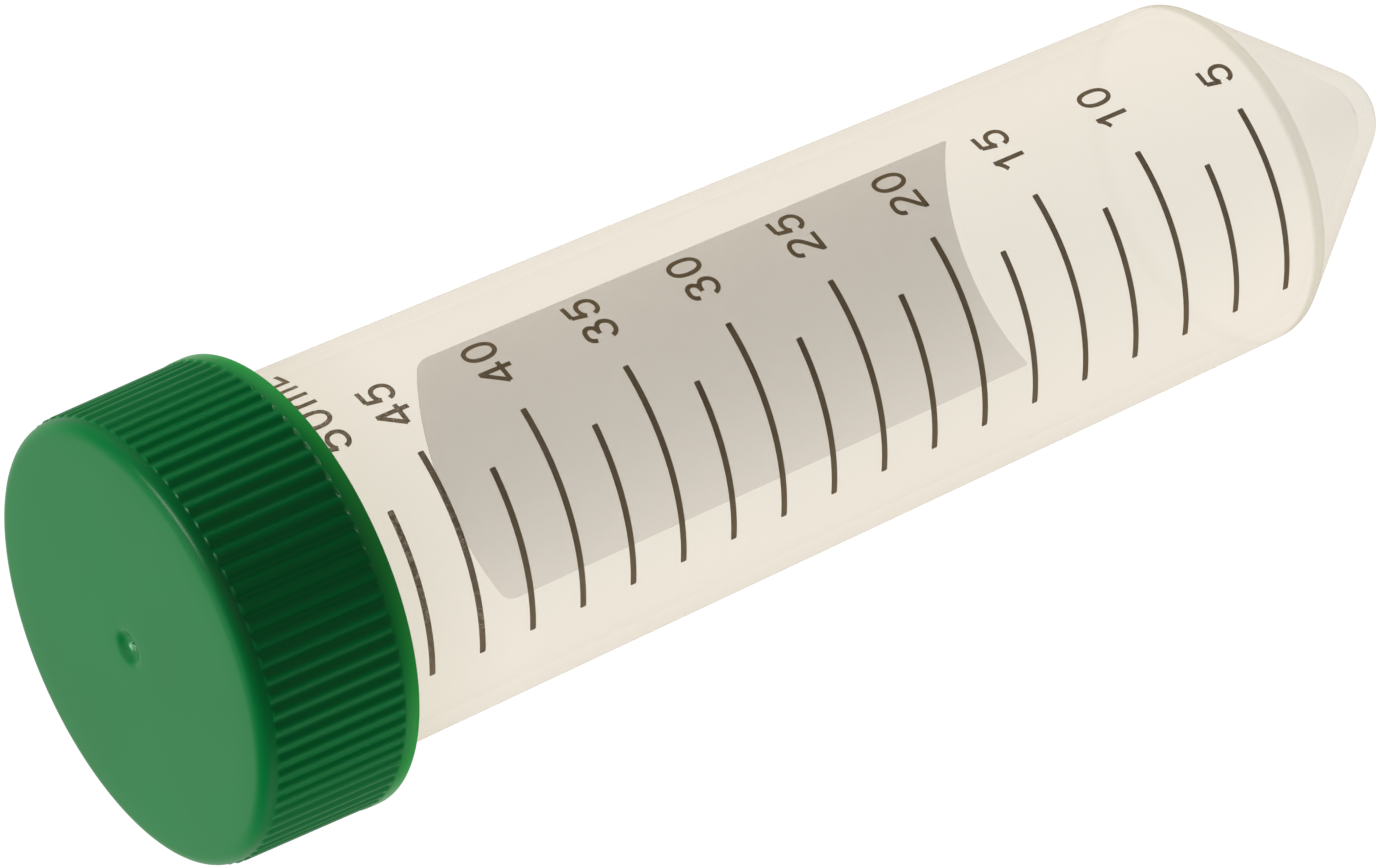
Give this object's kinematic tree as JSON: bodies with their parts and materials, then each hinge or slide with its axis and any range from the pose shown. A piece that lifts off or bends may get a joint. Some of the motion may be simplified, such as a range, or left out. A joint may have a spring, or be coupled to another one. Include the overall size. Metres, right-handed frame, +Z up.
{
  "type": "centrifuge tube",
  "caption": "Translucent conical-bottom screw-cap tube with a printed volume scale, a ribbed screw cap and a loose seal liner.",
  "frame": {"origin": "centre of the conical tip's lowest ring, on the tube's axis", "axes": "+Z up the tube's axis from the tip to the cap; +X towards the middle of the printed scale"},
  "size_m": [0.0348, 0.0348, 0.1141],
  "materials": {
    "tube_plastic": "natural translucent polypropylene, smooth and slightly milky",
    "cap_plastic": "moulded green polyethylene, satin",
    "liner_foam": "soft white foamed polyethylene",
    "scale_ink": "dark screen-printing ink, slightly worn",
    "patch_ink": "white matt screen-printing ink for writing on"
  },
  "bodies": {
    "tube": {"tube_body": "tube_plastic"},
    "liner": {"seal_liner": "liner_foam"},
    "cap": {"screw_cap": "cap_plastic"}
  },
  "joints": [
    {"name": "cap_rise", "type": "slide", "parent": "tube", "child": "liner", "axis": [0, 0, 1], "range_m": [0, 0.015]},
    {"name": "cap_turn", "type": "hinge", "parent": "liner", "child": "cap", "pos_m": [0, 0, 0.1141], "axis": [0, 0, 1], "range_deg": [0, 1800]}
  ],
  "couplings": [
    {"joint": "cap_rise", "follows": "cap_turn", "m_per_rad": 0.00047746}
  ]
}
